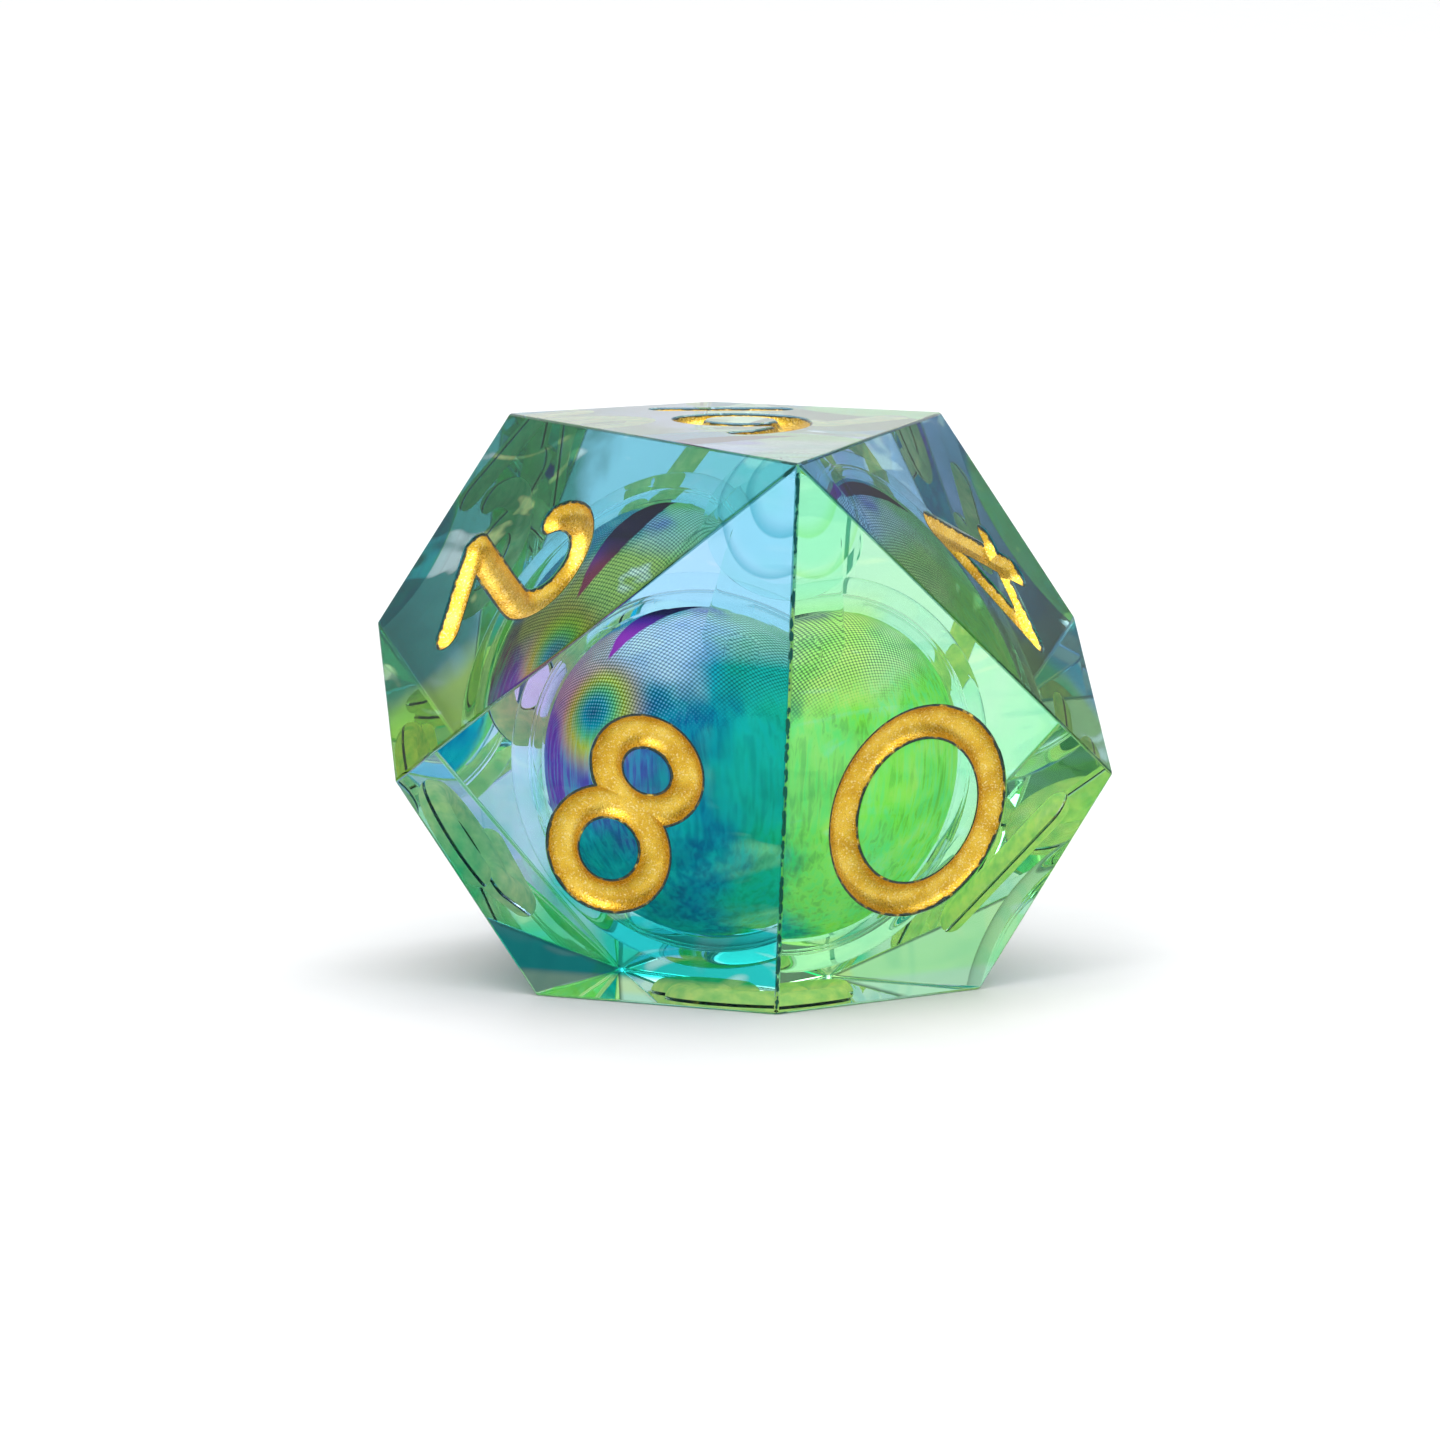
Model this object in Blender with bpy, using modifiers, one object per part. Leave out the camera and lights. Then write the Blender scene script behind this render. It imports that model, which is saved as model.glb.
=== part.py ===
"""A ten-sided die of clear tinted resin, cast around a liquid-filled capsule with a weighted eyeball.

The die stands on the kite numbered 3, so that the kite numbered 6 is on top. +Z is up, the origin is
the middle of the resting face, and the apex that the even numbers share points towards -Y and up.
"""

from math import acos, asin, cos, pi, radians, sin, sqrt

import bmesh
import bpy
from mathutils import Matrix, Vector

MM = 0.001

# The outside: a pentagonal trapezohedron, ten equal kites
FACE_TO_FACE = 16.0 * MM
APEX_OVER_BELT = 1.2152  # apex height over the radius of the zigzag belt
EDGE_BLUNTING = 0.08 * MM
NEAR_APEX_NUMERALS = (6, 2, 8, 0, 4)  # in turn around the apex at -Y
OPPOSITE_SUM = 9  # the numerals of two opposite kites

# The numerals: round-bottomed grooves with paint in them
GROOVE_WIDTH = 1.05 * MM
GROOVE_DEPTH = 0.42 * MM
PAINT_RECESS = 0.12 * MM
STROKE_TRACE = 0.012  # share by which crossing strokes differ in thickness, so that no faces coincide
NUMERAL_MIDDLE = -1.25 * MM  # below the kite's centre, on its axis
NUMERAL_HALF_HEIGHT = 2.70 * MM  # from the middle to the centre line of the top stroke
UNDERLINE_DROP = 4.0 * MM  # from the numeral's middle to the bar under a 6 or a 9

# The core: a capsule, the liquid in it and the eyeball, one inside the other
CORE_DROP = 1.3 * MM  # the capsule lies this far below the middle of the die
CAPSULE_RADIUS = 5.90 * MM
CAPSULE_WALL = 0.55 * MM
LIQUID_RADIUS = 5.27 * MM
EYE_ROOM_RADIUS = 5.00 * MM
BUBBLE_HALF_ANGLE = radians(17)
EYE_RADIUS = 4.90 * MM
FILM_THICKNESS = 0.08 * MM
FILM_HALF_ANGLE = radians(77)
EYE_SHELL_WALL = 0.50 * MM
BALLAST_RADIUS = 4.20 * MM
BALLAST_TOP = -2.2 * MM
GAZE_HEIGHT = radians(78)  # the pupil looks up at rest, a little to the left
GAZE_HEADING = radians(-174)

# The filling hole, from the apex down to the capsule, and what closes it
PLUG_HEAD_RADIUS = 2.00 * MM
PLUG_STEM_RADIUS = 1.30 * MM
PLUG_HEAD_HEIGHT = 10.4 * MM  # of its underside, above the capsule's centre
PLUG_STEM_END = 5.98 * MM
FILL_HOLE_RADIUS = 0.50 * MM

SEAM_GAP = 0.03 * MM  # between two pieces that are glued or cast against each other
LAP = 0.25 * MM  # half the height of the step in a joint between two half shells
ROUND_STEPS = 28
RINGS = 14  # from pole to pole of a ball
MERGE = 1e-7
OVERSHOOT = 6.0 * MM  # how far a cutter runs past what it cuts

COLLECTION_NAME = "liquid_core_die"


def clear_scene():
    for old in list(bpy.data.objects):
        bpy.data.objects.remove(old, do_unlink=True)


def new_collection(name, hidden):
    made = bpy.data.collections.new(name)
    made.hide_render = hidden
    bpy.context.scene.collection.children.link(made)
    return made


def plastic(name, colour, roughness, metallic=0.0, transmission=0.0, ior=1.5):
    made = bpy.data.materials.new(name)
    made.use_nodes = True
    shader = made.node_tree.nodes["Principled BSDF"]
    shader.inputs["Base Color"].default_value = (*colour, 1.0)
    shader.inputs["Roughness"].default_value = roughness
    shader.inputs["Metallic"].default_value = metallic
    shader.inputs["Transmission Weight"].default_value = transmission
    shader.inputs["IOR"].default_value = ior
    made.diffuse_color = (*colour, 1.0)
    return made


def add_object(name, mesh, collection, material=None):
    made = bpy.data.objects.new(name, mesh)
    collection.objects.link(made)
    if material:
        mesh.materials.clear()
        mesh.materials.append(material)
    return made


def make_cutter(obj):
    """A helper: it shapes other objects and isn't a piece of the die."""
    obj.hide_render = True
    obj.display_type = "WIRE"
    return obj


def boolean(obj, other, operation):
    step = obj.modifiers.new(f"{operation.lower()}_{other.name}"[:60], "BOOLEAN")
    step.operation = operation
    step.solver = "EXACT"
    step.object = other


def as_mesh(obj):
    """The object with its modifiers or its curve made into a plain welded mesh."""
    bpy.context.view_layer.update()
    graph = bpy.context.evaluated_depsgraph_get()
    mesh = bpy.data.meshes.new_from_object(obj.evaluated_get(graph))
    shape = bmesh.new()
    shape.from_mesh(mesh)
    bmesh.ops.remove_doubles(shape, verts=shape.verts, dist=MERGE)
    shape.to_mesh(mesh)
    shape.free()
    return mesh


def replace_with_mesh(obj):
    made = add_object(obj.name + "_mesh", as_mesh(obj), obj.users_collection[0])
    made.matrix_world = obj.matrix_world.copy()
    bpy.data.objects.remove(obj, do_unlink=True)
    return made


# ---- The outside -------------------------------------------------------------------------------


def unit_corners():
    """Both apexes, then the five upper and five lower belt corners, for a belt radius of 1."""
    zigzag = APEX_OVER_BELT * (1 - cos(pi / 5)) / (1 + cos(pi / 5))
    apex = Vector((0, 0, APEX_OVER_BELT))
    upper, lower = [], []
    for i in range(5):
        turn = radians(72 * i)
        upper.append(Vector((cos(turn), sin(turn), zigzag)))
        turn += radians(36)
        lower.append(Vector((cos(turn), sin(turn), -zigzag)))
    return apex, upper, lower


def kite_normal(apex, left, right):
    normal = (left - apex).cross(right - apex).normalized()
    return normal if normal.dot(apex) > 0 else -normal


def resting_turn(apex, upper):
    """The rotation that brings the first kite level on top, with the apex towards -Y."""
    up = kite_normal(apex, upper[0], upper[1])
    back = -(apex - up * apex.dot(up)).normalized()
    return Matrix((back.cross(up), back, up))


class Die:
    """The die's corners in its resting place, and a frame on each of its ten kites."""

    def __init__(self):
        apex, upper, lower = unit_corners()
        turn = resting_turn(apex, upper)
        inner = apex.dot(kite_normal(apex, upper[0], upper[1]))
        self.scale = FACE_TO_FACE / 2 / inner
        self.centre = Vector((0, 0, FACE_TO_FACE / 2))
        self.apex = turn @ apex * self.scale
        self.upper = [turn @ corner * self.scale for corner in upper]
        self.lower = [turn @ corner * self.scale for corner in lower]

    def corners(self):
        around = [self.apex, -self.apex, *self.upper, *self.lower]
        return [self.centre + corner for corner in around]

    def kite_frame(self, index, side):
        """Side 1 holds the kites at the near apex, and side -1 the ones opposite them."""
        normal = kite_normal(self.apex, self.upper[index], self.upper[(index + 1) % 5])
        middle = normal * (FACE_TO_FACE / 2)
        up = (self.apex - middle).normalized()
        across = up.cross(normal)
        frame = Matrix((across, side * up, side * normal)).transposed().to_4x4()
        frame.translation = self.centre + side * middle
        return frame


def die_blank(die, name, collection):
    """The solid trapezohedron with slightly blunted edges."""
    mesh = bpy.data.meshes.new(name)
    shape = bmesh.new()
    points = [shape.verts.new(corner) for corner in die.corners()]
    bmesh.ops.convex_hull(shape, input=points)
    bmesh.ops.dissolve_limit(shape, angle_limit=radians(1), verts=shape.verts, edges=shape.edges)
    bmesh.ops.recalc_face_normals(shape, faces=shape.faces)
    shape.to_mesh(mesh)
    shape.free()
    blank = add_object(name, mesh, collection)
    edge = blank.modifiers.new("blunted_edges", "BEVEL")
    edge.width = EDGE_BLUNTING
    edge.segments = 2
    return blank


# ---- The numerals ------------------------------------------------------------------------------


def arc(x, y, wide, high, start, end, count):
    """Points on an ellipse, from one angle to another in degrees, anticlockwise if end > start."""
    points = []
    for i in range(count):
        turn = radians(start + (end - start) * i / (count - 1))
        points.append((x + wide * cos(turn), y + high * sin(turn)))
    return points


def loop(x, y, wide, high, count):
    return arc(x, y, wide, high, 0, 360, count + 1)[:-1]


def tail_and_bowl():
    """A 6: a curved tail from the top that runs round into a closed bowl."""
    tail = arc(0.55, -0.20, 1.17, 1.52, 112, 178, 8)
    return [(tail, False), (loop(-0.05, -0.25, 0.57, 0.57, 18), True)]


def turned_over(strokes):
    """A 9 from a 6, turned about the 6's middle, which lies above that of the other numerals."""
    middle = 0.20
    return [([(-x, 2 * middle - y) for x, y in points], closed) for points, closed in strokes]


def numeral_strokes(digit):
    """The centre lines of a numeral, each with whether it closes, for a half height of 1."""
    if digit == 0:
        return [(loop(0, 0, 0.98, 0.98, 28), True)]
    if digit == 1:
        return [([(0.06, 1.0), (0.06, -1.0)], False), ([(0.16, 1.0), (-0.30, 0.62)], False)]
    if digit == 2:
        bowl = arc(0, 0.43, 0.55, 0.57, 186, -22, 15) + [(0.36, 0.02), (-0.60, -1.0)]
        return [(bowl, False), ([(-0.66, -0.96), (0.60, -0.96)], False)]
    if digit == 3:
        top = arc(-0.02, 0.50, 0.46, 0.50, 165, -88, 13)
        foot = arc(-0.02, -0.45, 0.55, 0.55, 88, -165, 14)
        return [(top, False), (foot, False)]
    if digit == 4:
        stem = [(0.24, 1.08), (0.24, -1.14)]
        slope = [(0.30, 1.02), (-0.78, -0.66)]
        return [(stem, False), (slope, False), ([(-0.84, -0.60), (0.60, -0.60)], False)]
    if digit == 5:
        bowl = arc(-0.02, -0.38, 0.57, 0.60, 118, -155, 15)
        bar = [(-0.42, 0.96), (0.48, 0.96)]
        return [(bowl, False), ([(-0.34, 1.04), (-0.42, 0.06)], False), (bar, False)]
    if digit == 6:
        return tail_and_bowl()
    if digit == 7:
        return [([(-0.58, 0.96), (0.62, 0.96)], False), ([(0.54, 1.06), (-0.16, -1.0)], False)]
    if digit == 8:
        return [(loop(0, 0.55, 0.46, 0.43, 18), True), (loop(0, -0.46, 0.52, 0.53, 20), True)]
    return turned_over(tail_and_bowl())


def underline_strokes():
    return [([(-0.70, 0), (0.70, 0)], False)]


def stroke(name, points, closed, radius, height, collection):
    """A round bar along a centre line, lying at this height over the kite's plane."""
    curve = bpy.data.curves.new(name, "CURVE")
    curve.dimensions = "3D"
    curve.twist_mode = "Z_UP"
    curve.bevel_depth = radius
    curve.bevel_resolution = 2
    curve.use_fill_caps = True
    line = curve.splines.new("POLY")
    line.points.add(len(points) - 1)
    line.use_cyclic_u = closed
    for point, (x, y) in zip(line.points, points):
        point.co = (x * NUMERAL_HALF_HEIGHT, y * NUMERAL_HALF_HEIGHT, height, 1)
    return replace_with_mesh(add_object(name, curve, collection))


def strokes_joined(name, strokes, shrink, collection):
    """All strokes of a numeral as one solid. Each is a trace thinner than the one before it."""
    radius = (GROOVE_WIDTH**2 / 4 + GROOVE_DEPTH**2) / (2 * GROOVE_DEPTH)
    height = radius - GROOVE_DEPTH
    bars = []
    for i, (points, closed) in enumerate(strokes):
        thinner = radius * (1 - STROKE_TRACE * i) - shrink
        bars.append(stroke(f"{name}_stroke_{i}", points, closed, thinner, height, collection))
    whole = bars[0]
    for bar in bars[1:]:
        boolean(whole, bar, "UNION")
    if len(bars) > 1:
        mesh = as_mesh(whole)
        for bar in bars:
            bpy.data.objects.remove(bar, do_unlink=True)
        whole = add_object(name, mesh, collection)
    whole.name = name
    return whole


def paint_trim(collection):
    """A block that takes off everything above the paint's surface."""
    mesh = bpy.data.meshes.new("above_paint")
    shape = bmesh.new()
    bmesh.ops.create_cube(shape, size=2 * OVERSHOOT)
    bmesh.ops.translate(shape, vec=(0, 0, OVERSHOOT - PAINT_RECESS), verts=shape.verts)
    shape.to_mesh(mesh)
    shape.free()
    return make_cutter(add_object("above_paint", mesh, collection))


def marking(name, strokes, frame, drop, parts, cutters, trim, gold):
    """A groove cutter and the paint that lies in the groove, both on the kite with this frame."""
    place = frame @ Matrix.Translation((0, NUMERAL_MIDDLE - drop, 0))
    groove = make_cutter(strokes_joined(name + "_groove", strokes, 0, cutters))
    groove.matrix_world = place
    fill = strokes_joined(name + "_fill", strokes, SEAM_GAP, cutters)
    boolean(fill, trim, "DIFFERENCE")
    paint = add_object(name + "_paint", as_mesh(fill), parts, gold)
    paint.matrix_world = place
    bpy.data.objects.remove(fill, do_unlink=True)
    return groove


def markings(die, parts, cutters, gold):
    trim = paint_trim(cutters)
    grooves = []
    for side in (1, -1):
        for index, near_digit in enumerate(NEAR_APEX_NUMERALS):
            digit = near_digit if side == 1 else OPPOSITE_SUM - near_digit
            frame = die.kite_frame(index, side)
            strokes = numeral_strokes(digit)
            name = f"numeral_{digit}"
            grooves.append(marking(name, strokes, frame, 0, parts, cutters, trim, gold))
            if digit in (6, 9):
                bar = underline_strokes()
                name = f"underline_{digit}"
                made = marking(name, bar, frame, UNDERLINE_DROP, parts, cutters, trim, gold)
                grooves.append(made)
    return grooves


# ---- Turned pieces -----------------------------------------------------------------------------


def ball_line(radius, start, end):
    """Points on a sphere's outline between two angles from its top pole, at even ring steps."""
    closest = pi / RINGS / 20
    rings = [pi * ring / RINGS for ring in range(RINGS + 1)]
    low, high = min(start, end) + closest, max(start, end) - closest
    between = [angle for angle in rings if low < angle < high]
    if end < start:
        between.reverse()
    return [(radius * sin(angle), radius * cos(angle)) for angle in (start, *between, end)]


def pole_snapped(outline):
    return [(0.0 if abs(r) < MERGE else r, z) for r, z in outline]


def turned(name, outline, closed, collection, material=None):
    """A ring or a solid turned about its Z axis. The outline runs down the outer side."""
    mesh = bpy.data.meshes.new(name)
    shape = bmesh.new()
    points = [shape.verts.new((r, 0, z)) for r, z in pole_snapped(outline)]
    for first, second in zip(points, points[1:]):
        shape.edges.new((first, second))
    if closed:
        shape.edges.new((points[-1], points[0]))
    shape.to_mesh(mesh)
    shape.free()
    made = add_object(name, mesh, collection, material)
    spin = made.modifiers.new("turn", "SCREW")
    spin.steps = ROUND_STEPS
    spin.render_steps = ROUND_STEPS
    spin.use_merge_vertices = True
    spin.merge_threshold = MERGE
    return made


def lap_shells(names, outer, wall, hole, collection, material):
    """Two half shells that meet in a stepped joint: the front one towards +Z, then the rear one."""
    inner = outer - wall
    step = outer - wall / 2
    reach = acos(-LAP / outer)
    front = ball_line(outer, asin(hole / outer), reach)
    front += [(step + SEAM_GAP / 2, -LAP), (step + SEAM_GAP / 2, LAP)]
    front += ball_line(inner, acos(LAP / inner), asin(hole / inner))
    rear_top, rear_step = LAP - SEAM_GAP, -LAP - SEAM_GAP
    rear = ball_line(inner, pi, acos(rear_top / inner))
    rear += [(step - SEAM_GAP / 2, rear_top), (step - SEAM_GAP / 2, rear_step)]
    rear += ball_line(outer, acos(rear_step / outer), pi)
    return (
        turned(names[0], front, hole > 0, collection, material),
        turned(names[1], rear, False, collection, material),
    )


# ---- The core ----------------------------------------------------------------------------------


def facing(centre, direction):
    turn = direction.to_track_quat("Z", "Y").to_matrix().to_4x4()
    return Matrix.Translation(centre) @ turn


def capsule(place, parts, clear):
    names = ("capsule_front_half", "capsule_rear_half")
    halves = lap_shells(names, CAPSULE_RADIUS, CAPSULE_WALL, FILL_HOLE_RADIUS, parts, clear)
    for half in halves:
        half.matrix_world = place


def capsule_stopper(place, parts, clear):
    radius = FILL_HOLE_RADIUS - SEAM_GAP
    top = CAPSULE_RADIUS + SEAM_GAP
    bottom = CAPSULE_RADIUS - CAPSULE_WALL
    outline = [(0, top), (radius, top), (radius, bottom), (0, bottom)]
    turned("capsule_stopper", outline, False, parts, clear).matrix_world = place


def plug_outline(grow):
    """The stepped filling hole from above the apex down to the capsule."""
    head, stem = PLUG_HEAD_RADIUS + grow, PLUG_STEM_RADIUS + grow
    step = PLUG_HEAD_HEIGHT - grow
    top = PLUG_HEAD_HEIGHT + OVERSHOOT
    end = PLUG_STEM_END if grow == 0 else CAPSULE_RADIUS - CAPSULE_WALL
    return [(0, top), (head, top), (head, step), (stem, step), (stem, end), (0, end)]


def fill_plug(die, place, parts, cutters, resin):
    """The resin that closes the filling hole. Its tip is the die's apex."""
    blank = make_cutter(die_blank(die, "plug_limit", cutters))
    plug = turned("fill_plug", plug_outline(0), False, parts, resin)
    plug.matrix_world = place
    boolean(plug, blank, "INTERSECT")


def core_liquid(centre, parts, liquid):
    """The filling around the eyeball, open at the top where the air bubble floats."""
    outline = ball_line(EYE_ROOM_RADIUS, pi, BUBBLE_HALF_ANGLE)
    outline += ball_line(LIQUID_RADIUS, BUBBLE_HALF_ANGLE, pi)
    turned("core_liquid", outline, False, parts, liquid).location = centre


def eyeball(centre, parts, colours):
    """Two half shells, the printed film over the front one and the ballast that keeps it upright."""
    across = cos(GAZE_HEIGHT)
    gaze = Vector((across * cos(GAZE_HEADING), across * sin(GAZE_HEADING), sin(GAZE_HEIGHT)))
    place = facing(centre, gaze)
    shell_radius = EYE_RADIUS - FILM_THICKNESS - SEAM_GAP
    names = ("eye_front_shell", "eye_rear_shell")
    halves = lap_shells(names, shell_radius, EYE_SHELL_WALL, 0, parts, colours["eye"])
    outline = ball_line(EYE_RADIUS, 0, FILM_HALF_ANGLE)
    outline += ball_line(EYE_RADIUS - FILM_THICKNESS, FILM_HALF_ANGLE, 0)
    film = turned("eye_print_film", outline, False, parts, colours["print"])
    for piece in (*halves, film):
        piece.matrix_world = place
    rim = sqrt(BALLAST_RADIUS**2 - BALLAST_TOP**2)
    outline = [(0, BALLAST_TOP), (rim, BALLAST_TOP)]
    outline += ball_line(BALLAST_RADIUS, acos(BALLAST_TOP / BALLAST_RADIUS), pi)[1:]
    turned("eye_ballast", outline, False, parts, colours["steel"]).location = centre


def resin_body(die, place, grooves, parts, cutters, resin):
    """The cast body: engraved outside, hollow around the capsule, with a stepped filling hole."""
    body = die_blank(die, "resin_body", parts)
    body.data.materials.append(resin)
    room = turned("capsule_room", ball_line(CAPSULE_RADIUS + SEAM_GAP, 0, pi), False, cutters)
    port = turned("filling_hole", plug_outline(SEAM_GAP), False, cutters)
    for cutter in (room, port):
        cutter.matrix_world = place
        make_cutter(cutter)
    for cutter in (room, port, *grooves):
        boolean(body, cutter, "DIFFERENCE")


def shade_round_pieces(parts):
    for obj in parts.objects:
        obj.data.shade_smooth()
        obj.data.set_sharp_from_angle(angle=radians(30))


def main():
    clear_scene()
    parts = new_collection(COLLECTION_NAME, False)
    cutters = new_collection("cutters", True)
    resin = plastic("tinted_resin", (0.45, 0.86, 0.80), 0.03, transmission=1.0)
    clear = plastic("clear_acrylic", (0.92, 0.97, 0.97), 0.04, transmission=1.0, ior=1.49)
    liquid = plastic("clear_oil", (0.80, 0.93, 0.95), 0.0, transmission=1.0, ior=1.47)
    gold = plastic("gold_paint", (0.80, 0.55, 0.13), 0.35, metallic=0.9)
    colours = {
        "eye": plastic("eye_plastic", (0.05, 0.30, 0.45), 0.35),
        "print": plastic("eye_print", (0.42, 0.60, 0.20), 0.40),
        "steel": plastic("ballast_steel", (0.55, 0.55, 0.57), 0.30, metallic=1.0),
    }
    die = Die()
    core = die.centre - Vector((0, 0, CORE_DROP))
    fill_place = facing(core, (die.centre + die.apex - core).normalized())
    grooves = markings(die, parts, cutters, gold)
    resin_body(die, fill_place, grooves, parts, cutters, resin)
    fill_plug(die, fill_place, parts, cutters, resin)
    capsule(fill_place, parts, clear)
    capsule_stopper(fill_place, parts, clear)
    core_liquid(core, parts, liquid)
    eyeball(core, parts, colours)
    shade_round_pieces(parts)


main()
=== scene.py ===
"""Looks of a liquid-core ten-sided die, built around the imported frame.

Units are metres, in the frame's own axes: the die stands on its kite 3, with kite 6 on top and the
apex that the even numerals share towards -Y.
"""

from math import cos, pi, radians, sin

import bmesh
import bpy
from mathutils import Matrix, Vector


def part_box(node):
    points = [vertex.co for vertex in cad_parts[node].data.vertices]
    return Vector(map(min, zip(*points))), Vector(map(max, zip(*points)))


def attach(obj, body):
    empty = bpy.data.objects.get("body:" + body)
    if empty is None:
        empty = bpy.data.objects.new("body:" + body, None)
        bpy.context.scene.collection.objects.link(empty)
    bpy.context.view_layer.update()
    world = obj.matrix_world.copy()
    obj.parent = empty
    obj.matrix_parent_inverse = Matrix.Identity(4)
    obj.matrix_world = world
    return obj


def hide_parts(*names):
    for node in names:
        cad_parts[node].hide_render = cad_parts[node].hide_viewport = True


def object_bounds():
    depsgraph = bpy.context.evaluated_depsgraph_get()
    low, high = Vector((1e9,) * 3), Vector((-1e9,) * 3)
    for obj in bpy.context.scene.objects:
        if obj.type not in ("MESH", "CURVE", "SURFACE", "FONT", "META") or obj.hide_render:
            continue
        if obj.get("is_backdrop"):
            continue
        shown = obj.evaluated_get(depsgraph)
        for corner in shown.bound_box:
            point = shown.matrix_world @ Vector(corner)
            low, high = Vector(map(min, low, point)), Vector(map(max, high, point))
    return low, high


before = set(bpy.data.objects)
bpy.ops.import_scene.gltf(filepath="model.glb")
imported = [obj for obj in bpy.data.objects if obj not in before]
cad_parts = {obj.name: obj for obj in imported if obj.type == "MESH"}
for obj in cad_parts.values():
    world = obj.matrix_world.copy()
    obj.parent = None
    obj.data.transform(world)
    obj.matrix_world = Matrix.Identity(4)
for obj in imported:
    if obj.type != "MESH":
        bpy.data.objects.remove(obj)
cad_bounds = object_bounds()

MM = 0.001
RIGHT, BACK, UP = Vector((1, 0, 0)), Vector((0, 1, 0)), Vector((0, 0, 1))

# The outside, as the frame gives it
FACE_TO_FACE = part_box("resin_body")[1].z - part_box("resin_body")[0].z
BELT_RADIUS = FACE_TO_FACE / 1.4512
DIE_CENTRE = Vector((0, 0, FACE_TO_FACE / 2))
APEX_OVER_BELT = 1.2152  # apex height over the radius of the zigzag belt
EDGE_BLUNTING = 0.08 * MM
NEAR_APEX_NUMERALS = (6, 2, 8, 0, 4)
OPPOSITE_SUM = 9

# The engraving
GROOVE_WIDTH = 1.05 * MM
GROOVE_DEPTH = 0.42 * MM
GROOVE_RADIUS = (GROOVE_WIDTH**2 / 4 + GROOVE_DEPTH**2) / (2 * GROOVE_DEPTH)
NUMERAL_MIDDLE = -1.25 * MM
NUMERAL_HALF_HEIGHT = 2.70 * MM
UNDERLINE_DROP = 4.0 * MM
UNDERLINE_HALF_LENGTH = 0.62  # as a share of a numeral's half height
PAINT_BITE = 0.02 * MM  # how far the paint reaches into the resin, so that no air shows behind it
PAINT_COAT = 0.05 * MM
PAINT_EDGE = 0.05 * MM  # bare resin left at the rim of a groove

# The port that the die was filled through, and the plug in it
PORT_RADIUS = 2.00 * MM
PORT_CORE_RADIUS = 1.30 * MM
PLUG_GAP = 0.03 * MM  # between the plug and the port
PLUG_STEP = 10.4 * MM  # distances from the capsule's centre
PLUG_END = 6.0 * MM

# The core
LIQUID_RADIUS = 5.27 * MM
CORE = (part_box("core_liquid")[0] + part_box("core_liquid")[1]) / 2
CORE.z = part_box("core_liquid")[0].z + LIQUID_RADIUS
CAPSULE_RADIUS = 5.90 * MM
CAPSULE_WALL = 0.55 * MM
CAPSULE_HOLE = 0.55 * MM
CAPSULE_SEAM = 0.4 * pi / 180  # half of the open line between the half shells
STOPPER_RADIUS = 0.47 * MM
BUBBLE = radians(17)  # half angle of the air bubble's gap in the liquid
EYE_ROOM_RADIUS = 5.00 * MM
EYE_RADIUS = 4.90 * MM
FILM_RIM = radians(77)  # how far the printed film reaches from its middle
FILM_WALL = 0.08 * MM
SHELL_DROP = 0.012 * MM  # how far the bare shell lies below the film's surface
SHELL_WALL = 0.4 * MM
GAZE_HEIGHT = radians(78)
GAZE_HEADING = radians(-174)


# ---- Shapes ------------------------------------------------------------------------------------


def add_object(name, data):
    made = bpy.data.objects.new(name, data)
    bpy.context.scene.collection.objects.link(made)
    return made


def object_from(name, shape):
    """Turns a bmesh into an object."""
    mesh = bpy.data.meshes.new(name)
    shape.to_mesh(mesh)
    shape.free()
    return add_object(name, mesh)


def evaluated_mesh(obj):
    bpy.context.view_layer.update()
    graph = bpy.context.evaluated_depsgraph_get()
    return bpy.data.meshes.new_from_object(obj.evaluated_get(graph))


def boolean(obj, other, operation):
    """Applies one exact Boolean and removes the other object."""
    step = obj.modifiers.new("cut", "BOOLEAN")
    step.operation = operation
    step.solver = "EXACT"
    step.object = other
    mesh = evaluated_mesh(obj)
    obj.modifiers.clear()
    obj.data = mesh
    bpy.data.objects.remove(other, do_unlink=True)


def direction(height, heading):
    return Vector((cos(height) * cos(heading), cos(height) * sin(heading), sin(height)))


def facing(centre, towards):
    return Matrix.Translation(centre) @ towards.to_track_quat("Z", "Y").to_matrix().to_4x4()


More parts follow.
